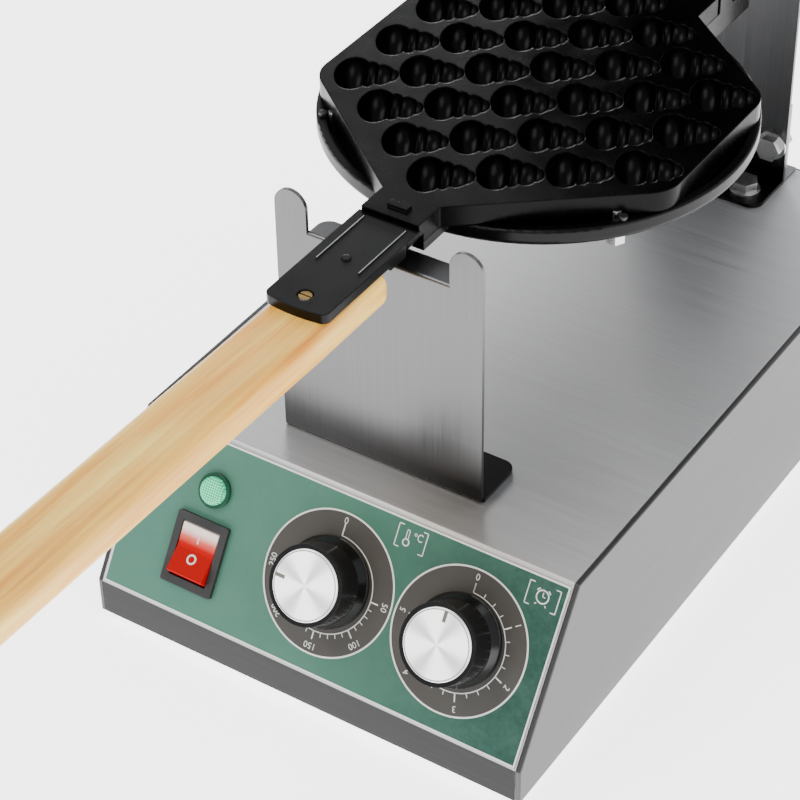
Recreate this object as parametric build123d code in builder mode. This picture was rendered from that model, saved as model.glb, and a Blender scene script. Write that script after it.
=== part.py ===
"""Single bubble waffle maker: a hexagonal two-half iron that turns over in two brackets on a sheet-metal base."""
import os
from math import sin, cos, tan, radians, sqrt
from build123d import *

os.makedirs("parts", exist_ok=True)

# ---------------------------------------------------------------- driving dimensions (mm)
FOOT_H = 6.0            # the base's lower edge stands this high above the table
Y_SHIFT = -51.674         # y below is counted from the front fold; the shift centres the whole object

BASE_HW = 125.0         # half width of the base
BASE_TOP = 100.0        # top face above the base's lower edge
LIP_Y = -50.9           # front lip
LIP_H = 20.3
REAR_Y = 362.2
SHEET = 1.2
SEAM = 2.5              # width of the side panels' folded top edge
SHELL_HW = BASE_HW - SEAM - 0.3

BR_Y = 23.7             # front bracket, front face
BR_T = 2.0
BR_HW = 56.8
EAR_IN = 39.2
EAR_TOP = 242.8
SADDLE_Z = 222.4
RB_Y = 343.5            # rear bracket, front face
RB_HW = 56.3
RB_TOP = 264.0

AX_Z = 239.6            # top face of the lower mould
GAP = 0.4               # gap between the closed moulds
FLIP_Z = AX_Z + GAP / 2
HEX_Y = 167.2
HINGE_Y = 298.0
HV = HINGE_Y - HEX_Y    # hinge from the mould's centre
OPEN_DEG = 97.0

HEX_A = 99.3            # half width across the hexagon's flats
HEX_V = 127.0           # its virtual front and rear corners
HEX_C = 47.8            # side corners
HEX_R = 19.0
MOULD_STEP = 10.9
MOULD_T = 15.0
RIM_R = 109.1
RIM_IN = 104.3
FLOOR_W = -17.3
CELL_X, CELL_Y = 26.3, 37.2
CELL_ANG = 25.0

ARM_HW = 16.7
TAB_HW = 15.7
TAB_V = -132.1
ARM_TOP = -2.3
BELLY_R = 16.8
SWEEP_R = 16.9          # the arm stays inside this circle where it turns in the saddle
SADDLE_V = 128.3
NECK_HW = 35.5
BLOCK_B = -24.0
BLOCK_V = HV + 7.9
LEDGE_V = HV + 27.0

TEMP_X, TEMP_S = 0.9, 46.7
TIME_X, TIME_S = 75.3, 46.9
SW_X, SW_S = -73.7, 61.0
LAMP_X, LAMP_S = -73.0, 27.3

# ---------------------------------------------------------------- planes
SLOPE_L = sqrt(LIP_Y ** 2 + (BASE_TOP - LIP_H) ** 2)
UY, UZ = -LIP_Y / SLOPE_L, (BASE_TOP - LIP_H) / SLOPE_L      # up the slope
NY, NZ = -UZ, UY                                             # out of the slope


def plane(x, y, z, xd, zd):
    return Plane(origin=(x, y + Y_SHIFT, z + FOOT_H), x_dir=xd, z_dir=zd)


def xy(z):
    return plane(0, 0, z, (1, 0, 0), (0, 0, 1))


def xz(y):
    """Local (x, z); a positive extrusion goes to the front."""
    return plane(0, y, 0, (1, 0, 0), (0, -1, 0))


def yz(x):
    """Local (y, z); a positive extrusion goes to +x."""
    return plane(x, 0, 0, (0, 1, 0), (1, 0, 0))


def pan(h):
    """Plane h in front of the slope: local (x, -distance down the slope)."""
    return plane(0, NY * h, BASE_TOP + NZ * h, (1, 0, 0), (0, NY, NZ))


def pan_side(x, s):
    """Plane across the slope at x: local (up the slope from s, out of the slope)."""
    return plane(x, -UY * s, BASE_TOP - UZ * s, (0, UY, UZ), (1, 0, 0))


def swing(v):
    a = radians(-OPEN_DEG)
    return (v[0], v[1] * cos(a) - v[2] * sin(a), v[1] * sin(a) + v[2] * cos(a))


class Half:
    """Frame of one half of the iron: u across, v to the rear, w out of the parting plane, minus into the casting."""

    def __init__(self, upper):
        self.upper = upper
        self.m = -1 if upper else 1
        if upper:
            rel = swing((0, HEX_Y - HINGE_Y, AX_Z + GAP - FLIP_Z))
            self.o = (0, HINGE_Y + rel[1], FLIP_Z + rel[2])
            self.x, self.y, self.z = (-1, 0, 0), swing((0, 1, 0)), swing((0, 0, -1))
        else:
            self.o = (0, HEX_Y, AX_Z)
            self.x, self.y, self.z = (1, 0, 0), (0, 1, 0), (0, 0, 1)

    def pt(self, u, v, w):
        return tuple(self.o[i] + u * self.x[i] + v * self.y[i] + w * self.z[i] for i in range(3))

    def world(self, u, v, w):
        p = self.pt(u, v, w)
        return (p[0], p[1] + Y_SHIFT, p[2] + FOOT_H)

    def uv(self, w):
        return plane(*self.pt(0, 0, w), self.x, self.z)

    def vw(self, u):
        return plane(*self.pt(u, 0, 0), self.y, self.x)

    def uw(self, v):
        return plane(*self.pt(0, v, 0), self.x, tuple(-c for c in self.y))


def poly(*pts):
    Polygon(*pts, align=None)


def box_uv(x0, x1, y0, y1):
    with Locations(((x0 + x1) / 2, (y0 + y1) / 2)):
        Rectangle(x1 - x0, y1 - y0)


def inset(t):
    """The base's side outline, t inside the sheet's outer face: lip bottom, lip top, fold, rear top, rear bottom."""
    k = (1 - UZ) / UY
    j = (1 - NZ) / UZ
    return [(LIP_Y + t, 0), (LIP_Y + t, LIP_H - t * (NZ - k * UZ)), (t * (UZ - j * UY), BASE_TOP - t),
            (REAR_Y - t, BASE_TOP - t), (REAR_Y - t, 0)]


def done(part, name):
    part.part.label = name
    export_step(part.part, "parts/%s.step" % name)


O0, O1, O2 = inset(0), inset(SHEET), inset(2 * SHEET)

# ---------------------------------------------------------------- base: folded shell
with BuildPart() as base_shell:
    with BuildSketch(yz(-SHELL_HW)) as sk:
        poly(O0[0], O0[1], O0[2], (REAR_Y - 1.5, BASE_TOP), (REAR_Y - 1.5, BASE_TOP - SHEET), O1[2], O1[1], O1[0])
        vs = sk.vertices()
        fillet([v for v in vs if abs(v.X - O0[2][0]) < .05 and abs(v.Y - O0[2][1]) < .05], 1.6)
        vs = sk.vertices()
        fillet([v for v in vs if abs(v.X - O0[1][0]) < .05 and abs(v.Y - O0[1][1]) < .05], 1.6)
    extrude(amount=2 * SHELL_HW)
    with BuildSketch(pan(2)):
        with Locations((TEMP_X, -TEMP_S), (TIME_X, -TIME_S)):
            Circle(5.2)
        with Locations((LAMP_X, -LAMP_S)):
            Circle(6.8)
        with Locations((SW_X, -SW_S)):
            Rectangle(26.4, 32.4)
    extrude(amount=-5, mode=Mode.SUBTRACT)
    with BuildSketch(xy(BASE_TOP + 1)):
        with Locations((25, 44), (-25, 44)):
            Circle(3.1)
        with Locations((42, 325.5), (-42, 325.5)):
            Circle(4.2)
        with Locations((40, 354.5), (-40, 354.5)):
            Circle(2.2)
    extrude(amount=-4, mode=Mode.SUBTRACT)
done(base_shell, "base_shell")


# ---------------------------------------------------------------- base: side panels
def side_panel(s):
    with BuildPart() as p:
        with BuildSketch(yz(s * (BASE_HW - SHEET))):
            poly(*O0)
        extrude(amount=s * SHEET)
        with BuildSketch(yz(s * (BASE_HW - SEAM))):
            poly(O0[0], O0[1], O0[2], O0[3], O0[4], O1[4], O1[3], O1[2], O1[1], O1[0])
        extrude(amount=s * (SEAM - SHEET))
        with BuildSketch(yz(s * 112)):
            poly(O1[1], O1[2], O1[3], (O1[4][0], 1.2), (O2[4][0], 1.2), O2[3], O2[2], O2[1])
        extrude(amount=s * (BASE_HW - SHEET - 112))
        with BuildSketch(yz(s * 112)):
            poly((-45, 1.2), (O2[4][0], 1.2), (O2[4][0], 2.4), (-45, 2.4))
        extrude(amount=s * (BASE_HW - SHEET - 112))
        rim = p.faces().sort_by(Axis.X)[-1 if s > 0 else 0].edges().sort_by(Axis.Z)[1:]
        fillet(rim, 1.0)
        with BuildSketch(xz(REAR_Y + 1)):
            with Locations((s * 117.5, 15), (s * 117.5, 85)):
                Circle(1.5)
        extrude(amount=6, mode=Mode.SUBTRACT)
    return p


side_panel_right = side_panel(1)
done(side_panel_right, "side_panel_right")
side_panel_left = side_panel(-1)
done(side_panel_left, "side_panel_left")

with BuildPart() as rear_panel:
    with BuildSketch(xz(REAR_Y)):
        box_uv(-SHELL_HW, SHELL_HW, 0, BASE_TOP)
        for i in range(11):
            with Locations((-40 + 8 * i, 42)):
                SlotOverall(30, 3.6, rotation=90, mode=Mode.SUBTRACT)
        with Locations((-85, 28)):
            Circle(8.2, mode=Mode.SUBTRACT)
        with Locations((117.5, 15), (117.5, 85), (-117.5, 15), (-117.5, 85)):
            Circle(1.7, mode=Mode.SUBTRACT)
    extrude(amount=SHEET)
done(rear_panel, "rear_panel")

with BuildPart() as bottom_plate:
    with BuildSketch(xy(0)):
        box_uv(-SHELL_HW, SHELL_HW, LIP_Y + 1.5, REAR_Y - 1.5)
        for i in range(9):
            with Locations((-48 + 12 * i, 170)):
                SlotOverall(90, 4, rotation=90, mode=Mode.SUBTRACT)
        with Locations((98, -18), (-98, -18), (98, 332), (-98, 332)):
            Circle(2.2, mode=Mode.SUBTRACT)
    extrude(amount=SHEET)
done(bottom_plate, "bottom_plate")

FEET = ((98, -18), (-98, -18), (98, 332), (-98, 332))
with BuildPart() as rubber_feet:
    with BuildSketch(xy(0)):
        with Locations(*FEET):
            Circle(9.5)
    extrude(amount=-FOOT_H, taper=6)
    with BuildSketch(xy(-FOOT_H)):
        with Locations(*FEET):
            Circle(5.0)
    extrude(amount=3.2, mode=Mode.SUBTRACT)
    with BuildSketch(xy(-3)):
        with Locations(*FEET):
            Circle(2.2)
    extrude(amount=4, mode=Mode.SUBTRACT)
done(rubber_feet, "rubber_feet")

with BuildPart() as feet_screws:
    with BuildSketch(xy(-4.8)):
        with Locations(*FEET):
            Circle(3.6)
    extrude(amount=2)
    with BuildSketch(xy(-3)):
        with Locations(*FEET):
            Circle(2.0)
    extrude(amount=9)
    with BuildSketch(xy(SHEET)):
        with Locations(*FEET):
            RegularPolygon(4.0, 6)
    extrude(amount=3.2)
done(feet_screws, "feet_screws")

with BuildPart() as panel_screws:
    with BuildSketch(xz(REAR_Y + 2)):
        with Locations((117.5, 15), (117.5, 85), (-117.5, 15), (-117.5, 85)):
            Circle(3.2)
    extrude(amount=2)
    with BuildSketch(xz(REAR_Y + 0.5)):
        with Locations((117.5, 15), (117.5, 85), (-117.5, 15), (-117.5, 85)):
            Circle(1.45)
    extrude(amount=6)
done(panel_screws, "panel_screws")

with BuildPart() as cable_gland:
    with BuildSketch(xz(REAR_Y)):
        with Locations((-85, 28)):
            Circle(11)
            Circle(4, mode=Mode.SUBTRACT)
    extrude(amount=-5)
    with BuildSketch(xz(REAR_Y + 5)):
        with Locations((-85, 28)):
            Circle(8)
            Circle(4, mode=Mode.SUBTRACT)
    extrude(amount=-7)
    with BuildSketch(xz(REAR_Y)):
        with Locations((-85, 28)):
            Circle(8)
            Circle(4, mode=Mode.SUBTRACT)
    extrude(amount=9)
    with BuildSketch(xz(REAR_Y - SHEET)):
        with Locations((-85, 28)):
            RegularPolygon(11, 6)
            Circle(4, mode=Mode.SUBTRACT)
    extrude(amount=5)
done(cable_gland, "cable_gland")

with BuildPart() as terminal_block:
    with BuildSketch(xy(SHEET)):
        box_uv(-100, -60, 285, 305)
    extrude(amount=14)
    with BuildSketch(xy(SHEET + 14)):
        with Locations((-92, 290), (-80, 290), (-68, 290), (-92, 300), (-80, 300), (-68, 300)):
            Circle(2.4)
    extrude(amount=-4, mode=Mode.SUBTRACT)
done(terminal_block, "terminal_block")

# ---------------------------------------------------------------- control face
with BuildPart() as panel_label:
    with BuildSketch(pan(0)):
        box_uv(-121.4, 121.4, -93.4, -2.4)
        with Locations((TEMP_X, -TEMP_S), (TIME_X, -TIME_S)):
            Circle(5.2, mode=Mode.SUBTRACT)
        with Locations((LAMP_X, -LAMP_S)):
            Circle(6.8, mode=Mode.SUBTRACT)
        with Locations((SW_X, -SW_S)):
            Rectangle(26.4, 32.4, mode=Mode.SUBTRACT)
    extrude(amount=0.4)
done(panel_label, "panel_label")

PIV_H = -1.5
ROCK_R = 14.0
with BuildPart() as switch_housing:
    with BuildSketch(pan(0.4)):
        with Locations((SW_X, -SW_S)):
            RectangleRounded(30.4, 37.3, 1.2)
    extrude(amount=2.4)
    with BuildSketch(pan(0.4)):
        with Locations((SW_X, -SW_S)):
            Rectangle(26, 32)
    extrude(amount=-24)
    with BuildSketch(pan(3)):
        with Locations((SW_X, -SW_S)):
            Rectangle(22.3, 2 * (ROCK_R + 0.35))
    extrude(amount=-21, mode=Mode.SUBTRACT)
    with BuildSketch(pan_side(SW_X - 12.4, SW_S)):
        with Locations((0, PIV_H)):
            Circle(1.56)
    extrude(amount=24.8, mode=Mode.SUBTRACT)
    with BuildSketch(pan(-23.6)):
        with Locations((SW_X - 7, -SW_S), (SW_X + 7, -SW_S), (SW_X - 7, -SW_S + 10), (SW_X + 7, -SW_S + 10)):
            Rectangle(0.8, 6.3)
    extrude(amount=-8)
done(switch_housing, "switch_housing")

RHO = 3.9
VA, VH = RHO * sin(radians(10)), PIV_H + RHO * cos(radians(10))
with BuildPart() as rocker:
    with BuildSketch(pan_side(SW_X - 10.75, SW_S)):
        with Locations((0, PIV_H)):
            Circle(ROCK_R)
        # the disc is kept below the two facets and above the flat bottom
        Polygon((VA, VH), (40, VH), (40, 60), (-40, 60), (-40, VH + (VA + 40) * tan(radians(20))), align=None,
                mode=Mode.SUBTRACT)
        Polygon((-40, -10), (40, -10), (40, -60), (-40, -60), align=None, mode=Mode.SUBTRACT)
    extrude(amount=21.5)
    with BuildSketch(pan_side(SW_X - 12.2, SW_S)):
        with Locations((0, PIV_H)):
            Circle(1.5)
    extrude(amount=24.4)
done(rocker, "rocker")

with BuildPart() as lamp_bezel:
    with BuildSketch(pan(0.4)):
        with Locations((LAMP_X, -LAMP_S)):
            Circle(9)
    extrude(amount=2.2)
    with BuildSketch(pan(0.4)):
        with Locations((LAMP_X, -LAMP_S)):
            Circle(6.5)
    extrude(amount=-22)
    with BuildSketch(pan(3)):
        with Locations((LAMP_X, -LAMP_S)):
            Circle(7.3)
    extrude(amount=-2, mode=Mode.SUBTRACT)
    with BuildSketch(pan(3)):
        with Locations((LAMP_X, -LAMP_S)):
            Circle(5)
    extrude(amount=-12, mode=Mode.SUBTRACT)
done(lamp_bezel, "lamp_bezel")

with BuildPart() as lamp_lens:
    with BuildSketch(pan(1.0)):
        with Locations((LAMP_X, -LAMP_S)):
            Circle(7.2)
    extrude(amount=4.6)
    fillet(lamp_lens.faces().sort_by(Axis((0, 0, 0), (0, NY, NZ)))[-1].edges(), 2.6)
    with BuildSketch(pan(1.0)):
        with Locations((LAMP_X, -LAMP_S)):
            Circle(4.9)
    extrude(amount=-3)
done(lamp_lens, "lamp_lens")


def dial_unit(x, s, r, depth, tag):
    with BuildPart() as p:
        with BuildSketch(pan(-SHEET)):
            with Locations((x, -s)):
                Circle(r)
        extrude(amount=-depth)
        with BuildSketch(pan(-SHEET)):
            with Locations((x, -s)):
                Circle(5.0)
        extrude(amount=SHEET + 3.4)
        with BuildSketch(pan(5)):
            with Locations((x, -s)):
                Circle(3.3)
        extrude(amount=-16, mode=Mode.SUBTRACT)
        with BuildSketch(pan(-SHEET - depth)):
            with Locations((x - tag, -s), (x + tag, -s)):
                Rectangle(0.8, 6.3)
        extrude(amount=-8)
    return p


thermostat = dial_unit(TEMP_X, TEMP_S, 17, 22, 7)
done(thermostat, "thermostat")
timer_unit = dial_unit(TIME_X, TIME_S, 21, 26, 9)
done(timer_unit, "timer_unit")

with BuildPart() as dial_nuts:
    with BuildSketch(pan(0.4)):
        with Locations((TEMP_X, -TEMP_S), (TIME_X, -TIME_S)):
            RegularPolygon(8, 6)
            Circle(5.0, mode=Mode.SUBTRACT)
    extrude(amount=2.2)
done(dial_nuts, "dial_nuts")


def knob(x, s, r0, r1, h0, h1):
    with BuildPart() as skirt:
        with BuildSketch(pan_side(x, s)):
            poly((0, h0), (r0, h0), (r0, h0 + 3.0), (r1 + .6, h0 + 7), (r1, h1), (17.9, h1), (17.9, h1 - 0.8), (0, h1 - 0.8))
        revolve(axis=Axis((x, -UY * s + Y_SHIFT, BASE_TOP - UZ * s + FOOT_H), (0, NY, NZ)), revolution_arc=360)
        with BuildSketch(pan(h0)):
            with Locations((x, -s)):
                Circle(11)
        extrude(amount=6, mode=Mode.SUBTRACT)
        with BuildSketch(pan(h0)):
            with Locations((x, -s)):
                Circle(3.0)
        extrude(amount=16, mode=Mode.SUBTRACT)
    with BuildPart() as cap:
        with BuildSketch(pan(h1 - 0.8)):
            with Locations((x, -s)):
                Circle(17.6)
        extrude(amount=1.4)
        fillet(cap.faces().sort_by(Axis((0, 0, 0), (0, NY, NZ)))[-1].edges(), 0.5)
    with BuildPart() as shaft:
        with BuildSketch(pan(-9)):
            with Locations((x, -s)):
                Circle(3.0)
        extrude(amount=9 + h0 + 15)
    return skirt, cap, shaft


temp_skirt, temp_cap, temp_shaft = knob(TEMP_X, TEMP_S, 22.9, 20.0, 1.2, 23.2)
done(temp_skirt, "temp_skirt")
done(temp_cap, "temp_cap")
done(temp_shaft, "temp_shaft")
timer_skirt, timer_cap, timer_shaft = knob(TIME_X, TIME_S, 22.9, 20.0, 1.2, 23.2)
done(timer_skirt, "timer_skirt")
done(timer_cap, "timer_cap")
done(timer_shaft, "timer_shaft")

# ---------------------------------------------------------------- front bracket
with BuildPart() as front_bracket:
    with BuildSketch(xz(BR_Y)):
        box_uv(-BR_HW, BR_HW, BASE_TOP, EAR_TOP - 8.8)
        with Locations((48, EAR_TOP - 8.8), (-48, EAR_TOP - 8.8)):
            Circle(8.8)
        with Locations((0, (SADDLE_Z + EAR_TOP + 20) / 2)):
            Rectangle(2 * EAR_IN, EAR_TOP + 20 - SADDLE_Z, mode=Mode.SUBTRACT)
    extrude(amount=-BR_T)
    with BuildSketch(xy(SADDLE_Z - BR_T)):
        box_uv(-38.5, 38.5, BR_Y, 38)
    extrude(amount=BR_T)
    with BuildSketch(xy(BASE_TOP)):
        box_uv(-57.5, 57.5, BR_Y + BR_T, 56)
        box_uv(-BR_HW, BR_HW, BR_Y, BR_Y + BR_T)
    extrude(amount=BR_T)
    corners = [e for e in front_bracket.edges().filter_by(Axis.Z)
               if abs(e.center().Y - (38 + Y_SHIFT)) < .1 or abs(e.center().Y - (56 + Y_SHIFT)) < .1]
    fillet(corners, 6.5)
    folds = [e for e in front_bracket.edges().filter_by(Axis.X)
             if abs(e.center().Y - (BR_Y + Y_SHIFT)) < .1
             and (abs(e.center().Z - (BASE_TOP + FOOT_H)) < .1 or (abs(e.center().Z - (SADDLE_Z + FOOT_H)) < .1))]
    fillet(folds, 1.8)
    with BuildSketch(xy(BASE_TOP + 5)):
        with Locations((25, 44), (-25, 44)):
            Circle(3.1)
    extrude(amount=-8, mode=Mode.SUBTRACT)
done(front_bracket, "front_bracket")

with BuildPart() as front_bracket_bolts:
    with BuildSketch(xy(BASE_TOP + BR_T)):
        with Locations((25, 44), (-25, 44)):
            RegularPolygon(5.7, 6)
    extrude(amount=4)
    with BuildSketch(xy(BASE_TOP - 10)):
        with Locations((25, 44), (-25, 44)):
            Circle(3.0)
    extrude(amount=10 + BR_T + 1)
    with BuildSketch(xy(BASE_TOP - SHEET - 5)):
        with Locations((25, 44), (-25, 44)):
            RegularPolygon(5.7, 6)
    extrude(amount=5)
done(front_bracket_bolts, "front_bracket_bolts")

# ---------------------------------------------------------------- rear bracket
with BuildPart() as rear_bracket:
    with BuildSketch(xz(RB_Y)):
        box_uv(-RB_HW, RB_HW, BASE_TOP, RB_TOP)
    extrude(amount=-BR_T)
    with BuildSketch(xy(BASE_TOP)):
        box_uv(-RB_HW, RB_HW, 312.6, RB_Y + BR_T)
    extrude(amount=BR_T)
    tops = [e for e in rear_bracket.edges().filter_by(Axis.Y) if e.center().Z > RB_TOP + FOOT_H - .1]
    fillet(tops, 12)
    feet_c = [e for e in rear_bracket.edges().filter_by(Axis.Z) if abs(e.center().Y - (312.6 + Y_SHIFT)) < .1]
    fillet(feet_c, 8)
    fold_r = [e for e in rear_bracket.edges().filter_by(Axis.X)
              if abs(e.center().Y - (RB_Y + BR_T + Y_SHIFT)) < .1 and abs(e.center().Z - (BASE_TOP + FOOT_H)) < .1]
    fillet(fold_r, 1.8)
    with BuildSketch(xz(RB_Y - 1)):
        with Locations((0, FLIP_Z)):
            Circle(10.0)
        with Locations((48, 123.3), (-48, 123.3)):
            Circle(4.2)
    extrude(amount=-5, mode=Mode.SUBTRACT)
    with BuildSketch(xy(BASE_TOP + 5)):
        with Locations((42, 325.5), (-42, 325.5)):
            Circle(4.2)
    extrude(amount=-8, mode=Mode.SUBTRACT)
done(rear_bracket, "rear_bracket")

with BuildPart() as rear_stiffener:
    with BuildSketch(xz(RB_Y + BR_T)):
        box_uv(-RB_HW, RB_HW, BASE_TOP + 2, 150)
    extrude(amount=-BR_T)
    with BuildSketch(xy(BASE_TOP)):
        box_uv(-RB_HW, RB_HW, RB_Y + BR_T + 0.2, 360)
    extrude(amount=BR_T)
    with BuildSketch(xz(RB_Y)):
        with Locations((48, 123.3), (-48, 123.3)):
            Circle(4.2)
    extrude(amount=-8, mode=Mode.SUBTRACT)
    with BuildSketch(xy(BASE_TOP + 5)):
        with Locations((40, 354.5), (-40, 354.5)):
            Circle(2.2)
    extrude(amount=-8, mode=Mode.SUBTRACT)
done(rear_stiffener, "rear_stiffener")

with BuildPart() as rear_bracket_bolts:
    with BuildSketch(xy(BASE_TOP + BR_T)):
        with Locations((42, 325.5), (-42, 325.5)):
            Circle(8.5)
    extrude(amount=1.4)
    with BuildSketch(xy(BASE_TOP + BR_T + 1.4)):
        with Locations((42, 325.5), (-42, 325.5)):
            RegularPolygon(7.4, 6)
    extrude(amount=5.3)
    with BuildSketch(xy(BASE_TOP - 12)):
        with Locations((42, 325.5), (-42, 325.5)):
            Circle(4.0)
    extrude(amount=12 + BR_T + 1)
    with BuildSketch(xz(RB_Y)):
        with Locations((48, 123.3), (-48, 123.3)):
            Circle(8.5)
    extrude(amount=1.4)
    with BuildSketch(xz(RB_Y - 1.4)):
        with Locations((48, 123.3), (-48, 123.3)):
            RegularPolygon(7.4, 6)
    extrude(amount=5.3)
    with BuildSketch(xz(RB_Y - 1)):
        with Locations((48, 123.3), (-48, 123.3)):
            Circle(4.0)
    extrude(amount=-14)
done(rear_bracket_bolts, "rear_bracket_bolts")

with BuildPart() as rear_bracket_nuts:
    with BuildSketch(xy(BASE_TOP - SHEET)):
        with Locations((42, 325.5), (-42, 325.5)):
            RegularPolygon(7.4, 6)
            Circle(4.0, mode=Mode.SUBTRACT)
    extrude(amount=-6.5)
    with BuildSketch(xz(RB_Y + 2 * BR_T)):
        with Locations((48, 123.3), (-48, 123.3)):
            RegularPolygon(7.4, 6)
            Circle(4.0, mode=Mode.SUBTRACT)
    extrude(amount=-6.5)
done(rear_bracket_nuts, "rear_bracket_nuts")

with BuildPart() as stiffener_screws:
    with BuildSketch(xy(BASE_TOP + BR_T)):
        with Locations((40, 354.5), (-40, 354.5)):
            Circle(3.6)
    extrude(amount=2.2)
    with BuildSketch(xy(BASE_TOP - 6)):
        with Locations((40, 354.5), (-40, 354.5)):
            Circle(2.0)
    extrude(amount=6 + BR_T + 1)
done(stiffener_screws, "stiffener_screws")

with BuildPart() as bearing_bush:
    with BuildSketch(xz(RB_Y)):
        with Locations((0, FLIP_Z)):
            Circle(14)
            Circle(6.05, mode=Mode.SUBTRACT)
    extrude(amount=2)
    with BuildSketch(xz(RB_Y)):
        with Locations((0, FLIP_Z)):
            Circle(10)
            Circle(6.05, mode=Mode.SUBTRACT)
    extrude(amount=-5.5)
done(bearing_bush, "bearing_bush")


# ---------------------------------------------------------------- the iron's two halves
def cell_points(h):
    pts = []
    for c in range(-3, 4):
        n = 6 - abs(c)
        for k in range(n):
            pts.append((h.m * c * CELL_X, (k - (n - 1) / 2) * CELL_Y))
    return pts


def hexagon():
    poly((HEX_A, -HEX_C), (HEX_A, HEX_C), (0, HEX_V), (-HEX_A, HEX_C), (-HEX_A, -HEX_C), (0, -HEX_V))


def gourd():
    """One cell's cutter, along +X with its centre on the lattice point: four lobes turned about their axis."""
    with BuildPart() as g:
        with BuildSketch(Plane.XY) as gs:
            with Locations((-4.4, 0)):
                Ellipse(9.25, 15.1)
            with Locations((3.9, 0)):
                Ellipse(4.9, 12.0)
            with Locations((9.6, 0)):
                Ellipse(6.4, 9.7)
            with Locations((13.9, 0)):
                Ellipse(4.7, 6.4)
            with Locations((0, -30)):
                Rectangle(80, 60, mode=Mode.SUBTRACT)
        revolve(axis=Axis.X, revolution_arc=360)
    return g.part


CELL = gourd()


def mould(h):
    with BuildPart() as p:
        with BuildSketch(h.uv(-MOULD_STEP)) as s1:
            hexagon()
            side = [v for v in s1.vertices() if abs(abs(v.X) - HEX_A) < .1]
            fillet(side, HEX_R)
        extrude(amount=MOULD_STEP)
        with BuildSketch(h.uv(-MOULD_T)):
            hexagon()
            Circle(RIM_IN - 0.7, mode=Mode.INTERSECT)
        extrude(amount=MOULD_T - MOULD_STEP)
        with BuildSketch(h.uv(-MOULD_STEP)):
            box_uv(-TAB_HW, TAB_HW, TAB_V, -108)
            box_uv(-NECK_HW, NECK_HW, 80, 121)
        extrude(amount=MOULD_STEP)
        with BuildSketch(h.uv(1)):
            box_uv(-60, 60, 121, 140)
            box_uv(-60, 60, -150, TAB_V)
            if h.upper:
                box_uv(-10, 10, 110, 130)
        extrude(amount=-30, mode=Mode.SUBTRACT)
        # the tab's end turns inside the saddle, and a low key locates the two halves
        with BuildSketch(h.uw(-SADDLE_V)):
            Circle(40)
            Circle(SWEEP_R, mode=Mode.SUBTRACT)
        extrude(amount=6, mode=Mode.SUBTRACT)
        with BuildSketch(h.uv(0)):
            if h.upper:
                box_uv(-6.2, 6.2, -127.0, -121.4)
            else:
                box_uv(-5.5, 5.5, -126.2, -122.2)
        extrude(amount=-2.2 if h.upper else 1.5, mode=Mode.SUBTRACT if h.upper else Mode.ADD)
        with BuildSketch(h.uv(-MOULD_T - 1)):
            with Locations((79, 62), (79, -62), (-79, 62), (-79, -62)):
                Circle(2.6)
        extrude(amount=8, mode=Mode.SUBTRACT)
        tool = []
        for u, v in cell_points(h):
            pl = plane(*h.pt(u, v, 1.5), h.x, h.z)
            ang = CELL_ANG if not h.upper else 180 - CELL_ANG
            tool.append(pl.location * (Rot(0, 0, ang) * CELL))
        add(tool, mode=Mode.SUBTRACT)
    return p


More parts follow.
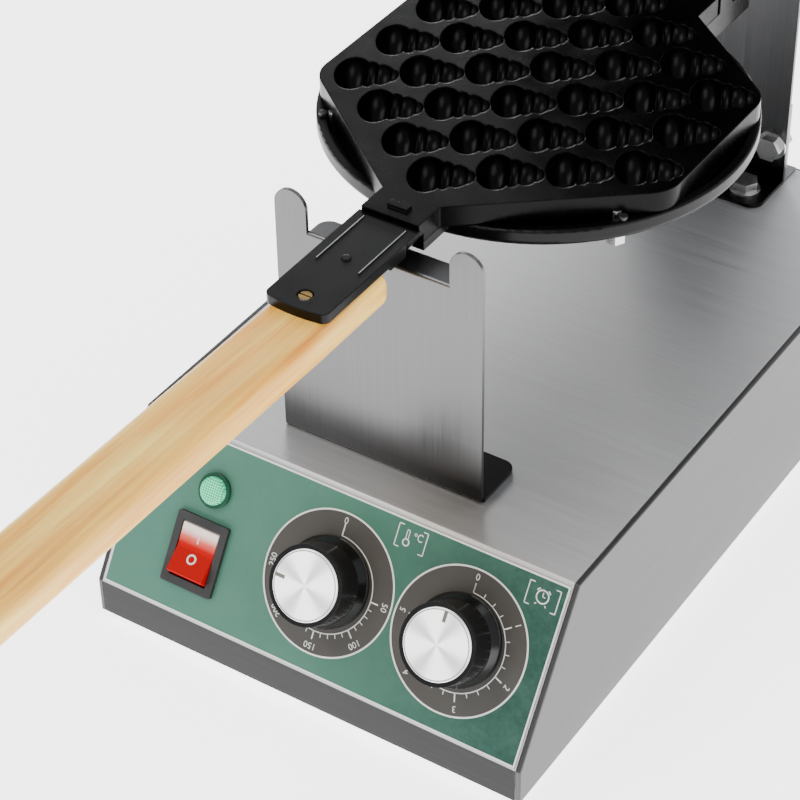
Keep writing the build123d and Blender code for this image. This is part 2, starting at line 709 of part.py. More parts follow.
def dish(h):
    with BuildPart() as p:
        with BuildSketch(h.vw(0)) as ds:
            poly((0, -30), (85, -30), (85, -19.8), (RIM_R, -19.8), (RIM_R, -11.05), (RIM_IN, -11.05),
                 (RIM_IN, FLOOR_W), (81, FLOOR_W), (81, -27), (0, -27))
            fillet([v for v in ds.vertices() if abs(v.X - 85) < .1 and v.Y < -25], 5)
            fillet([v for v in ds.vertices() if abs(v.X - RIM_R) < .1 and v.Y < -15], 3)
            fillet([v for v in ds.vertices() if abs(v.X - RIM_R) < .1 and v.Y > -15], 1.2)
        revolve(axis=Axis(h.world(0, 0, 0), h.z), revolution_arc=360)
        # front arm: root under the tab, belly, handle plate
        with BuildSketch(h.uv(-16.0)):
            box_uv(-TAB_HW, TAB_HW, TAB_V - 0.2, -104)
        extrude(amount=16.0 - MOULD_STEP - 0.05)
        with BuildSketch(h.uv(FLOOR_W)):
            Circle(RIM_IN)
        extrude(amount=12, mode=Mode.SUBTRACT)
        with BuildSketch(h.uv(-9.3)):
            box_uv(-ARM_HW, ARM_HW, -157, TAB_V - 0.2)
        extrude(amount=9.3 + ARM_TOP)
        with BuildSketch(h.uv(-7.3)) as plate:
            with BuildLine():
                Polyline((ARM_HW, -208.0), (ARM_HW, -150), (-ARM_HW, -150), (-ARM_HW, -208.0))
                ThreePointArc((-ARM_HW, -208.0), (0, -209.8), (ARM_HW, -208.0))
            make_face()
            fillet([v for v in plate.vertices() if v.Y < -200], 4)
        extrude(amount=7.3 + ARM_TOP)
        with BuildSketch(h.uw(-SADDLE_V)):
            Circle(40)
            Circle(SWEEP_R, mode=Mode.SUBTRACT)
        extrude(amount=16.2, mode=Mode.SUBTRACT)
        for v, reach, top in ((-105, 27.3, MOULD_STEP + 0.05), (TAB_V - 0.2, 17.7, 8.3)):
            with BuildSketch(h.uw(v)):
                with Locations((0, 0)):
                    Circle(BELLY_R)
                with Locations((0, 20)):
                    Rectangle(60, 40 + 2 * top, mode=Mode.SUBTRACT)
            extrude(amount=reach)
        with BuildSketch(h.uv(ARM_TOP)):
            box_uv(11.0, 11.8, -175, -136)
            box_uv(-11.8, -11.0, -175, -136)
        extrude(amount=0.6)
        with BuildSketch(h.uv(ARM_TOP)):
            with Locations((0, -167.7)):
                Circle(2.2)
        extrude(amount=0.7)
        with BuildSketch(h.uv(ARM_TOP)):
            with Locations((0, -199.9)):
                Circle(3.8)
        extrude(amount=-2.2, mode=Mode.SUBTRACT)
        with BuildSketch(h.uv(ARM_TOP)):
            with Locations((0, -199.9)):
                Circle(2.4)
        extrude(amount=-12, mode=Mode.SUBTRACT)
        # rear block, ledge and knuckles
        if h.upper:
            with BuildSketch(h.uv(BLOCK_B)):
                box_uv(-NECK_HW, -10, RIM_IN, BLOCK_V)
                box_uv(10, NECK_HW, RIM_IN, BLOCK_V)
            extrude(amount=-BLOCK_B - MOULD_STEP - 0.1)
            knuckles = ((10.0, 23.5), (-23.5, -10.0))
            hole = 3.06
        else:
            with BuildSketch(h.uv(BLOCK_B)):
                box_uv(-NECK_HW, NECK_HW, RIM_IN, LEDGE_V)
            extrude(amount=-BLOCK_B - MOULD_STEP - 0.1)
            knuckles = ((24.0, NECK_HW), (-NECK_HW, -24.0), (-9.0, 9.0))
            hole = 3.02
        for a, b in knuckles:
            with BuildSketch(h.vw(a)):
                with Locations((HV, GAP / 2)):
                    Circle(7.0)
                box_uv(HV - 6.9, HV + 6.9, -MOULD_STEP - 1, GAP / 2)
            extrude(amount=b - a)
        if not h.upper:
            with BuildSketch(h.uw(HV - 5)):
                with Locations((0, GAP / 2)):
                    Circle(8.5)
            extrude(amount=-(LEDGE_V - HV + 5 - 5))
            with BuildSketch(h.uw(HV + 4)):
                with Locations((0, GAP / 2)):
                    Circle(6.0)
            extrude(amount=-40, mode=Mode.SUBTRACT)
        with BuildSketch(h.vw(-60)):
            with Locations((HV, GAP / 2)):
                Circle(hole)
        extrude(amount=120, mode=Mode.SUBTRACT)
        with BuildSketch(h.uv(-35)):
            with Locations((79, 62), (79, -62), (-79, 62), (-79, -62)):
                Circle(2.6)
        extrude(amount=24, mode=Mode.SUBTRACT)
        with BuildSketch(h.uv(-11.05)):
            with Locations(*SCREWS):
                Circle(1.2)
        extrude(amount=-5, mode=Mode.SUBTRACT)
    return p


SCREWS = ((83.8, 64.2), (83.8, -64.2), (-83.8, 64.2), (-83.8, -64.2))
BOLTS = ((79, 62), (79, -62), (-79, 62), (-79, -62))


def bolts(h):
    with BuildPart() as p:
        with BuildSketch(h.uv(-19.8)):
            with Locations(*BOLTS):
                Circle(5.5)
        extrude(amount=-1.2)
        with BuildSketch(h.uv(-21)):
            with Locations(*BOLTS):
                RegularPolygon(5.0, 6)
        extrude(amount=-5)
        with BuildSketch(h.uv(-21)):
            with Locations(*BOLTS):
                Circle(2.5)
        extrude(amount=12.5)
    return p


def small_screws(h):
    with BuildPart() as p:
        with BuildSketch(h.uv(-11.05)):
            with Locations(*SCREWS):
                Circle(2.2)
        extrude(amount=2.0)
        with BuildSketch(h.uv(-11.5)):
            with Locations(*SCREWS):
                Circle(1.15)
        extrude(amount=-4)
        with BuildSketch(h.uv(-11.5)):
            with Locations(*SCREWS):
                Circle(1.15)
        extrude(amount=1)
    return p


def element(h):
    with BuildPart() as p:
        with BuildSketch(h.vw(0)):
            with Locations((62, -18.6)):
                Circle(3.3)
        revolve(axis=Axis(h.world(0, 0, 0), h.z), revolution_arc=340)
    return p


RISE = tan(radians(1.2))
H_IN, H_OUT = -159.4, -455.2


def handle(h):
    with BuildPart() as p:
        with BuildSketch(h.vw(-17.75)) as hs:
            w0 = -7.4
            w1 = w0 + (-210.5 - H_OUT) * RISE
            poly((H_IN, w0), (-210.5, w0), (H_OUT, w1), (H_OUT, w1 - 20), (-210.5, w0 - 20), (H_IN, w0 - 20))
        extrude(amount=35.5)
        lng = [e for e in p.edges() if abs(Vector(*h.x).dot((e @ 1) - (e @ 0))) < .1 and (e @ 1 - e @ 0).length > 30]
        fillet(lng, 8.0)
        ends = [e for f in p.faces() if abs(abs(f.normal_at().dot(Vector(*h.y))) - 1) < .01 for e in f.edges()]
        fillet(ends, 4.0)
        with BuildSketch(h.uv(-5)):
            with Locations((0, -199.9)):
                Circle(2.0)
        extrude(amount=-18, mode=Mode.SUBTRACT)
    return p


def handle_screws(h):
    with BuildPart() as p:
        with BuildSketch(h.uv(ARM_TOP - 2.2)):
            with Locations((0, -199.9)):
                Circle(3.2)
        extrude(amount=1.9)
        with BuildSketch(h.uv(ARM_TOP - 2.0)):
            with Locations((0, -199.9)):
                Circle(1.95)
        extrude(amount=-17)
        with BuildSketch(h.uv(ARM_TOP)):
            with Locations((0, -199.9)):
                Rectangle(7.4, 1.2)
        extrude(amount=-1.4, mode=Mode.SUBTRACT)
    return p


for name, h in (("lower", Half(False)), ("upper", Half(True))):
    done(mould(h), name + "_mould")
    done(dish(h), name + "_dish")
    done(bolts(h), name + "_dish_bolts")
    done(small_screws(h), name + "_mould_screws")
    done(element(h), name + "_element")
    done(handle(h), name + "_handle")
    done(handle_screws(h), name + "_handle_screw")

# ---------------------------------------------------------------- pivots
with BuildPart() as hinge_pin:
    with BuildSketch(yz(-NECK_HW - 0.2)):
        with Locations((HINGE_Y, FLIP_Z)):
            Circle(3.0)
    extrude(amount=2 * NECK_HW + 0.4)
    with BuildSketch(yz(NECK_HW + 0.2)):
        with Locations((HINGE_Y, FLIP_Z)):
            Circle(5.0)
    extrude(amount=2.2)
    with BuildSketch(yz(-NECK_HW - 0.2)):
        with Locations((HINGE_Y, FLIP_Z)):
            Circle(5.0)
    extrude(amount=-2.2)
done(hinge_pin, "hinge_pin")

with BuildPart() as pivot_shaft:
    with BuildSketch(xz(HINGE_Y + 4.5)):
        with Locations((0, FLIP_Z)):
            Circle(6.0)
            Circle(3.0, mode=Mode.SUBTRACT)
    extrude(amount=-(358 - HINGE_Y - 4.5))
    with BuildSketch(xz(336)):
        with Locations((0, FLIP_Z)):
            Circle(9.5)
            Circle(3.0, mode=Mode.SUBTRACT)
    extrude(amount=-(RB_Y - 2 - 0.3 - 336))
done(pivot_shaft, "pivot_shaft")

with BuildPart() as shaft_washer:
    with BuildSketch(xz(RB_Y + 5.5 + 0.3)):
        with Locations((0, FLIP_Z)):
            Circle(12)
            Circle(6.0, mode=Mode.SUBTRACT)
    extrude(amount=-1.5)
done(shaft_washer, "shaft_washer")

with BuildPart() as shaft_nut:
    with BuildSketch(xz(RB_Y + 5.5 + 0.3 + 1.5)):
        with Locations((0, FLIP_Z)):
            RegularPolygon(10.4, 6)
            Circle(6.0, mode=Mode.SUBTRACT)
    extrude(amount=-5.5)
done(shaft_nut, "shaft_nut")
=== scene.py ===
import math
import bpy
import bmesh
from mathutils import Matrix, Vector


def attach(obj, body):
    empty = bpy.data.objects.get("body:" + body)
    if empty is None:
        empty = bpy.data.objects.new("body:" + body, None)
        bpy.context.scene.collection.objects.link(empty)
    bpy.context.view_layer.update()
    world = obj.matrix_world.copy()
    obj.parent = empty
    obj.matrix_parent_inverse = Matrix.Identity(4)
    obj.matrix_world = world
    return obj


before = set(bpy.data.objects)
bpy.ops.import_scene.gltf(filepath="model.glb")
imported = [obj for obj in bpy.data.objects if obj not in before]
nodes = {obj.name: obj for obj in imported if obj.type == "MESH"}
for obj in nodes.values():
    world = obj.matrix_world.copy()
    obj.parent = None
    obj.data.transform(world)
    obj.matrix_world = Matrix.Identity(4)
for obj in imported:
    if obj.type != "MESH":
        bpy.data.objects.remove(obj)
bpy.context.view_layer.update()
scene = bpy.context.scene

# ------------------------------------------------------------------ frame helpers (mm in, metres out)
Y_SHIFT, FOOT_H = -51.674, 6.0
LIP_Y, LIP_H, TOP = -50.9, 20.3, 100.0
SL = math.hypot(LIP_Y, TOP - LIP_H)
UY, UZ = -LIP_Y / SL, (TOP - LIP_H) / SL
NY, NZ = -UZ, UY
AX_Z, GAP, HEX_Y, HINGE_Y, OPEN = 239.6, 0.4, 167.2, 298.0, math.radians(97.0)


def P(x, y, z):
    return Vector((x, y + Y_SHIFT, z + FOOT_H)) / 1000


def basis(o, x, y, z):
    m = Matrix((x, y, z)).transposed().to_4x4()
    m.translation = o
    return m


PANEL = basis(P(0, 0, TOP), Vector((1, 0, 0)), Vector((0, UY, UZ)), Vector((0, NY, NZ)))


def swing(v):
    a = -OPEN
    return Vector((v[0], v[1] * math.cos(a) - v[2] * math.sin(a), v[1] * math.sin(a) + v[2] * math.cos(a)))


LOWER = basis(P(0, HEX_Y, AX_Z), Vector((1, 0, 0)), Vector((0, 1, 0)), Vector((0, 0, 1)))
_r = swing((0, HEX_Y - HINGE_Y, GAP / 2))
UPPER = basis(P(0, HINGE_Y + _r[1], AX_Z + GAP / 2 + _r[2]), Vector((-1, 0, 0)), swing((0, 1, 0)), swing((0, 0, -1)))


# ------------------------------------------------------------------ material helpers
class Mat:
    def __init__(self, name):
        self.m = bpy.data.materials.new(name)
        self.m.use_nodes = True
        self.t = self.m.node_tree
        self.b = self.t.nodes["Principled BSDF"]

    def n(self, kind, **props):
        node = self.t.nodes.new(kind)
        for k, v in props.items():
            if k in node.inputs.keys():
                node.inputs[k].default_value = v
            else:
                setattr(node, k, v)
        return node

    def link(self, a, b):
        self.t.links.new(a, b)

    def set(self, **kw):
        for k, v in kw.items():
            self.b.inputs[k.replace("_", " ")].default_value = v
        return self

    def coords(self, scale=(1, 1, 1), rot=(0, 0, 0), loc=(0, 0, 0)):
        tc = self.n("ShaderNodeTexCoord")
        mp = self.n("ShaderNodeMapping")
        mp.inputs["Location"].default_value = loc
        mp.inputs["Rotation"].default_value = rot
        mp.inputs["Scale"].default_value = scale
        self.link(tc.outputs["Object"], mp.inputs["Vector"])
        return mp.outputs["Vector"]

    def noise(self, vec, scale, detail=3.0, rough=0.5, dist=0.0):
        nz = self.n("ShaderNodeTexNoise")
        nz.inputs["Scale"].default_value = scale
        nz.inputs["Detail"].default_value = detail
        nz.inputs["Roughness"].default_value = rough
        nz.inputs["Distortion"].default_value = dist
        self.link(vec, nz.inputs["Vector"])
        return nz.outputs["Fac"]

    def ramp(self, fac, stops):
        r = self.n("ShaderNodeValToRGB")
        el = r.color_ramp.elements
        while len(el) < len(stops):
            el.new(0.5)
        for e, (p, c) in zip(el, stops):
            e.position = p
            e.color = c if len(c) == 4 else (*c, 1)
        self.link(fac, r.inputs["Fac"])
        return r.outputs["Color"]

    def maprange(self, fac, a, b, lo=0.0, hi=1.0):
        r = self.n("ShaderNodeMapRange")
        r.inputs["From Min"].default_value = lo
        r.inputs["From Max"].default_value = hi
        r.inputs["To Min"].default_value = a
        r.inputs["To Max"].default_value = b
        self.link(fac, r.inputs["Value"])
        return r.outputs["Result"]

    def bump(self, height, dist, strength=1.0, bevel=0.0):
        bp = self.n("ShaderNodeBump")
        bp.inputs["Strength"].default_value = strength
        bp.inputs["Distance"].default_value = dist
        self.link(height, bp.inputs["Height"])
        if bevel:
            bv = self.n("ShaderNodeBevel")
            bv.samples = 4
            bv.inputs["Radius"].default_value = bevel
            self.link(bv.outputs["Normal"], bp.inputs["Normal"])
        self.link(bp.outputs["Normal"], self.b.inputs["Normal"])

    def mixrgb(self, fac, a, b, mode="MIX"):
        mx = self.n("ShaderNodeMix")
        mx.data_type = "RGBA"
        mx.blend_type = mode
        if isinstance(fac, float):
            mx.inputs[0].default_value = fac
        else:
            self.link(fac, mx.inputs[0])
        for i, v in ((6, a), (7, b)):
            if isinstance(v, tuple):
                mx.inputs[i].default_value = (*v, 1)
            else:
                self.link(v, mx.inputs[i])
        return mx.outputs[2]


def steel(name, tone, streak, rough=(0.30, 0.42), bump=0.00002, top=1.0, painted_front_shade=1.0, painted_low_shade=1.0):
    """Brushed sheet. streak stretches the grain: small along the brushing, large across it. The last three factors
    paint
    shade into its colour: on its flat feet, on its forward faces, and in a soft band above its foot."""
    m = Mat(name)
    v = m.coords(streak)
    fine = m.noise(v, 1.0, 6.0, 0.7)
    big = m.noise(m.coords((1, 1, 1)), 9.0, 2.0, 0.5)
    a = tuple(c * 0.90 for c in tone)
    b = tuple(min(1, c * 1.08) for c in tone)
    col = m.ramp(fine, [(0.3, a), (0.7, b)])
    col = m.mixrgb(m.maprange(big, 0.0, 0.16, 0.35, 0.7), col, tuple(c * 0.8 for c in tone))
    geo = m.n("ShaderNodeNewGeometry")
    sep = m.n("ShaderNodeSeparateXYZ")
    m.link(geo.outputs["Normal"], sep.inputs[0])
    # painted shade: a soft darker band above the foot, stronger towards +x
    if painted_low_shade < 1:
        pos = m.n("ShaderNodeSeparateXYZ")
        m.link(m.coords(), pos.inputs[0])
        band = m.maprange(pos.outputs["Z"], 1.0, 0.0, P(0, 0, TOP + 8).z, P(0, 0, TOP + 34).z)
        painted_shade_x = m.maprange(pos.outputs["X"], 0.45, 1.0, -0.03, 0.05)
        mul = m.n("ShaderNodeMath", operation="MULTIPLY")
        m.link(band, mul.inputs[0])
        m.link(painted_shade_x, mul.inputs[1])
        col = m.mixrgb(mul.outputs[0], col, tuple(c * painted_low_shade for c in tone))
    # painted shade: upward-facing faces low on the part (its flat feet) are darkened
    if top < 1:
        lowz = m.n("ShaderNodeSeparateXYZ")
        m.link(m.coords(), lowz.inputs[0])
        foot = m.n("ShaderNodeMath", operation="MULTIPLY")
        m.link(m.maprange(sep.outputs["Z"], 0.0, 1.0, 0.75, 0.97), foot.inputs[0])
        m.link(m.maprange(lowz.outputs["Z"], 1.0, 0.0, P(0, 0, TOP + 4).z, P(0, 0, TOP + 12).z), foot.inputs[1])
        col = m.mixrgb(foot.outputs[0], col, tuple(c * top for c in tone))
    # painted shade: faces turned to the front are darkened
    if painted_front_shade < 1:
        col = m.mixrgb(m.maprange(sep.outputs["Y"], 1.0, 0.0, -0.98, -0.9), col, tuple(c * painted_front_shade for c in tone))
    m.link(col, m.b.inputs["Base Color"])
    m.link(m.maprange(fine, rough[0], rough[1], 0.3, 0.7), m.b.inputs["Roughness"])
    m.set(Metallic=1.0)
    m.bump(fine, bump, 0.6, 0.0005)
    return m.m


def casting(name, rough=(0.20, 0.30), base=0.0006, grain=0.00003, spec=0.08):
    """Black coated casting: fine orange peel, slightly uneven gloss, its edges rounded a little in the shading."""
    m = Mat(name)
    v = m.coords()
    fine = m.noise(v, 900.0, 3.0, 0.6)
    mid = m.noise(v, 60.0, 4.0, 0.55)
    col = m.ramp(mid, [(0.3, (base, base, base * 1.05)), (0.75, (base * 1.9, base * 1.9, base * 2.0))])
    m.link(col, m.b.inputs["Base Color"])
    m.link(m.maprange(mid, rough[0], rough[1], 0.3, 0.7), m.b.inputs["Roughness"])
    m.set(Specular_IOR_Level=spec)
    m.bump(fine, grain, 0.5, 0.0011)
    return m.m


def plastic(name, color, rough=0.3, grain=0.00001, scale=1500.0, vary=0.15, spec=0.5, bevel=0.0004):
    m = Mat(name)
    v = m.coords()
    fine = m.noise(v, scale, 2.0, 0.5)
    mid = m.noise(v, 45.0, 3.0, 0.5)
    lo = tuple(c * (1 - vary) for c in color)
    hi = tuple(min(1, c * (1 + vary)) for c in color)
    m.link(m.ramp(mid, [(0.3, lo), (0.7, hi)]), m.b.inputs["Base Color"])
    m.link(m.maprange(mid, rough * 0.9, rough * 1.15, 0.3, 0.7), m.b.inputs["Roughness"])
    m.set(Specular_IOR_Level=spec)
    m.bump(fine, grain, 0.4, bevel)
    return m.m


def wood(name, rot):
    """Pale varnished pine: fine fibres along the handle, broad orange figure, darker streaks."""
    m = Mat(name)
    v = m.coords(rot=rot)
    sx = m.n("ShaderNodeMapping")
    sx.inputs["Scale"].default_value = (38.0, 2.6, 38.0)
    m.link(v, sx.inputs["Vector"])
    fig = m.noise(sx.outputs["Vector"], 1.6, 5.0, 0.55, 1.4)
    s2 = m.n("ShaderNodeMapping")
    s2.inputs["Scale"].default_value = (420.0, 9.0, 420.0)
    m.link(v, s2.inputs["Vector"])
    fib = m.noise(s2.outputs["Vector"], 1.0, 6.0, 0.62, 0.3)
    s3 = m.n("ShaderNodeMapping")
    s3.inputs["Scale"].default_value = (60.0, 7.0, 60.0)
    s3.inputs["Location"].default_value = (3.1, 1.7, 0.4)
    m.link(v, s3.inputs["Vector"])
    blot = m.noise(s3.outputs["Vector"], 1.0, 3.0, 0.5, 0.8)
    base = m.ramp(fig, [(0.24, (0.62, 0.20, 0.012)), (0.40, (0.90, 0.42, 0.040)), (0.54, (1.0, 0.60, 0.095)),
                        (0.74, (1.0, 0.72, 0.17))])
    streak = m.ramp(blot, [(0.34, (0.78, 0.28, 0.016)), (0.60, (1.0, 0.74, 0.19))])
    col = m.mixrgb(0.42, base, streak)
    fibc = m.ramp(fib, [(0.30, (0.70, 0.62, 0.52)), (0.62, (1.0, 1.0, 1.0))])
    col = m.mixrgb(0.75, col, fibc, "MULTIPLY")
    m.link(col, m.b.inputs["Base Color"])
    m.link(m.maprange(fib, 0.38, 0.52, 0.3, 0.7), m.b.inputs["Roughness"])
    # painted light: the wood glows faintly in its own colour (emission 0.28) to brighten it
    m.link(col, m.b.inputs["Emission Color"])
    m.set(Coat_Weight=0.10, Coat_Roughness=0.3, Emission_Strength=0.28)
    m.bump(fib, 0.00006, 0.5, 0.0005)
    return m.m


def fascia():
    """Satin printed film: mottled sage green, paler at the lamp's end and darkened towards the other end by painted
    shade.
    """
    m = Mat("green_fascia")
    v = m.coords()
    sep = m.n("ShaderNodeSeparateXYZ")
    m.link(v, sep.inputs[0])
    painted_shade_x = m.maprange(sep.outputs["X"], 0.0, 1.0, -0.12, 0.12)
    # painted shade: the green darkens steeply from the left end to the right end
    col = m.ramp(painted_shade_x, [(0.0, (0.062, 0.178, 0.128)), (0.45, (0.054, 0.160, 0.114)), (1.0, (0.008, 0.046, 0.032))])
    mott = m.noise(v, 380.0, 3.0, 0.6)
    col = m.mixrgb(m.maprange(mott, 0.0, 0.30, 0.35, 0.7), col, (0.040, 0.140, 0.108))
    soft = m.noise(v, 60.0, 2.0, 0.5)
    col = m.mixrgb(m.maprange(soft, 0.0, 0.12, 0.35, 0.7), col, (0.11, 0.23, 0.175))
    m.link(col, m.b.inputs["Base Color"])
    m.link(m.maprange(mott, 0.38, 0.46, 0.3, 0.7), m.b.inputs["Roughness"])
    m.set(Specular_IOR_Level=0.3)
    m.bump(mott, 0.000006, 0.3)
    return m.m


M = {}
# painted shade: one stainless steel in lit and shaded copies; the top is 0.60, the sides 0.076, the brackets 0.125 and
# the rear 0.24, and the top's forward-facing lip is darkened to 0.05
M["steel_top"] = steel("stainless_top", (0.60, 0.60, 0.605), (9.0, 900.0, 900.0), (0.48, 0.58), 0.00001, 1.0, 0.05)
M["steel_side_shaded"] = steel("stainless_side_shaded", (0.076, 0.076, 0.076), (900.0, 9.0, 900.0), (0.36, 0.46), 0.000012)
# painted shade: the brackets' flat feet are darkened to 0.16 and a band above them to 0.10
M["steel_bracket_shaded"] = steel("stainless_bracket_shaded", (0.125, 0.125, 0.127), (900.0, 900.0, 10.0), (0.28, 0.40), 0.00001, 0.16, 1.0, 0.10)
M["steel_rear_shaded"] = steel("stainless_rear_shaded", (0.24, 0.24, 0.243), (900.0, 900.0, 10.0), (0.28, 0.40), 0.00001)
M["fastener"] = steel("zinc_fastener", (0.55, 0.55, 0.54), (300.0, 300.0, 300.0), (0.25, 0.4))
M["casting"] = casting("black_casting")
M["dish"] = casting("black_dish", (0.24, 0.34), 0.0008, 0.00003, 0.15)
M["black_screw"] = casting("black_screw", (0.30, 0.40), 0.01, 0.00001, 0.5)
M["wood_low"] = wood("pine_lower", (0, 0, 0))
M["wood_up"] = wood("pine_upper", (OPEN, 0, 0))
M["rubber"] = plastic("rubber", (0.03, 0.03, 0.03), 0.7, 0.00004, 900.0, 0.3, 0.3)
M["black"] = plastic("black_gloss", (0.0025, 0.0025, 0.0027), 0.20, 0.000006, 900.0, 0.2, 0.40)
M["notch"] = plastic("grey_notch", (0.13, 0.13, 0.12), 0.5)
M["cap_rim_and_ridge_highlight"] = plastic("cap_rim_and_ridge_highlight", (0.30, 0.30, 0.30), 0.4)
M["black_matt"] = plastic("black_matt", (0.022, 0.022, 0.023), 0.42, 0.00002, 1500.0, 0.2, 0.4)
M["grey"] = plastic("grey_plastic", (0.25, 0.25, 0.26), 0.5)
M["white_plastic"] = plastic("white_plastic", (0.75, 0.75, 0.72), 0.5)
M["fascia"] = fascia()
M["print"] = plastic("white_print", (0.72, 0.74, 0.72), 0.5, 0.000003, 2500.0, 0.04, 0.3)
M["dial_field"] = plastic("dial_field", (0.052, 0.049, 0.044), 0.42, 0.00001, 2500.0, 0.08, 0.35)
M["green_bezel"] = plastic("green_bezel", (0.006, 0.06, 0.03), 0.2)
M["brass"] = steel("brass", (0.62, 0.43, 0.16), (400.0, 400.0, 400.0), (0.2, 0.35))
M["brass_dark"] = steel("brass_dark", (0.30, 0.20, 0.07), (400.0, 400.0, 400.0), (0.3, 0.45))
M["element"] = steel("element_sheath", (0.16, 0.14, 0.13), (300.0, 300.0, 300.0), (0.45, 0.6))


def red_plastic():
    m = Mat("red_rocker_painted_highlight")
    v = m.coords()
    sep = m.n("ShaderNodeSeparateXYZ")
    m.link(v, sep.inputs[0])
    # painted highlight: the colour runs from deep red on the lower facet to near white at the upper end, and the rocker
    # glows faintly in that colour
    up = P(0, -UY * 48.0, TOP - UZ * 48.0).z
    mid = P(0, -UY * 59.5, TOP - UZ * 59.5).z
    g = m.maprange(sep.outputs["Z"], 0.0, 1.0, mid, up)
    col = m.ramp(g, [(0.0, (0.36, 0.0005, 0.001)), (0.26, (0.42, 0.003, 0.003)), (0.60, (0.70, 0.13, 0.095)), (0.95, (0.92, 0.78, 0.70))])
    nz = m.noise(v, 200.0, 2.0, 0.5)
    col = m.mixrgb(m.maprange(nz, 0.0, 0.12, 0.3, 0.7), col, (0.32, 0.0, 0.0))
    m.link(col, m.b.inputs["Base Color"])
    m.link(col, m.b.inputs["Emission Color"])
    m.set(Roughness=0.40, Emission_Strength=0.12, Specular_IOR_Level=0.05)
    m.bump(nz, 0.00001, 0.3, 0.0006)
    return m.m


def lens():
    m = Mat("green_lens")
    v = m.coords(rot=(0, 0, 0))
    mp = m.n("ShaderNodeMapping")
    mp.inputs["Rotation"].default_value = (math.atan2(NZ, -NY) - math.pi / 2, 0, 0)
    m.link(v, mp.inputs["Vector"])
    sep = m.n("ShaderNodeSeparateXYZ")
    m.link(mp.outputs["Vector"], sep.inputs[0])
    waves = []
    for ax in ("X", "Y"):
        mu = m.n("ShaderNodeMath", operation="MULTIPLY")
        mu.inputs[1].default_value = 2 * math.pi / 0.0013
        m.link(sep.outputs[ax], mu.inputs[0])
        sn = m.n("ShaderNodeMath", operation="SINE")
        m.link(mu.outputs[0], sn.inputs[0])
        waves.append(sn.outputs[0])
    ad = m.n("ShaderNodeMath", operation="ADD")
    m.link(waves[0], ad.inputs[0])
    m.link(waves[1], ad.inputs[1])
    g = m.maprange(ad.outputs[0], 0.0, 1.0, -1.6, 1.6)
    col = m.ramp(g, [(0.15, (0.02, 0.36, 0.16)), (0.6, (0.06, 0.58, 0.29)), (1.0, (0.20, 0.85, 0.50))])
    m.link(col, m.b.inputs["Base Color"])
    m.link(col, m.b.inputs["Emission Color"])
    m.set(Roughness=0.2, Emission_Strength=0.40, Specular_IOR_Level=0.2)
    m.bump(g, 0.0002, 0.5)
    return m.m


def spun_cap(name, x, s):
    """Turned aluminium: radial sectors of painted light and shade in its colour, a painted glow, and very fine circular
    lines about the knob's axis.
    """
    m = Mat(name)
    tc = m.n("ShaderNodeTexCoord")
    sub = m.n("ShaderNodeVectorMath", operation="SUBTRACT")
    sub.inputs[1].default_value = P(x, -UY * s, TOP - UZ * s)
    m.link(tc.outputs["Object"], sub.inputs[0])
    axes = []
    for d in (Vector((1, 0, 0)), Vector((0, UY, UZ))):
        dt = m.n("ShaderNodeVectorMath", operation="DOT_PRODUCT")
        dt.inputs[1].default_value = d
        m.link(sub.outputs[0], dt.inputs[0])
        axes.append(dt.outputs["Value"])
    at = m.n("ShaderNodeMath", operation="ARCTAN2")
    m.link(axes[1], at.inputs[0])
    m.link(axes[0], at.inputs[1])
    mu = m.n("ShaderNodeMath", operation="MULTIPLY")
    mu.inputs[1].default_value = 4.0
    m.link(at.outputs[0], mu.inputs[0])
    sn = m.n("ShaderNodeMath", operation="SINE")
    m.link(mu.outputs[0], sn.inputs[0])
    cmb = m.n("ShaderNodeCombineXYZ")
    m.link(axes[0], cmb.inputs[0])
    m.link(axes[1], cmb.inputs[1])
    ln = m.n("ShaderNodeVectorMath", operation="LENGTH")
    m.link(cmb.outputs[0], ln.inputs[0])
    rm = m.n("ShaderNodeMath", operation="MULTIPLY")
    rm.inputs[1].default_value = 16000.0
    m.link(ln.outputs["Value"], rm.inputs[0])
    rs = m.n("ShaderNodeMath", operation="SINE")
    m.link(rm.outputs[0], rs.inputs[0])
    # painted reflection: four-fold light and dark sectors about the knob's axis
    col = m.ramp(m.maprange(sn.outputs[0], 0.0, 1.0, -1.0, 1.0), [(0.0, (0.50, 0.50, 0.50)), (0.55, (0.92, 0.92, 0.92)), (1.0, (1.0, 1.0, 1.0))])
    m.link(col, m.b.inputs["Base Color"])
    m.link(m.maprange(rs.outputs[0], 0.30, 0.40, -1.0, 1.0), m.b.inputs["Roughness"])
    # painted light: the cap glows in its own colour (emission 1.5)
    m.link(col, m.b.inputs["Emission Color"])
    m.set(Metallic=0.2, Emission_Strength=1.5)
    m.bump(rs.outputs[0], 0.000004, 0.4)
    return m.m


M["red"] = red_plastic()
M["lens"] = lens()
M["cap_temp"] = spun_cap("spun_cap_temp", 0.9, 46.7)
M["cap_time"] = spun_cap("spun_cap_timer", 75.3, 46.9)

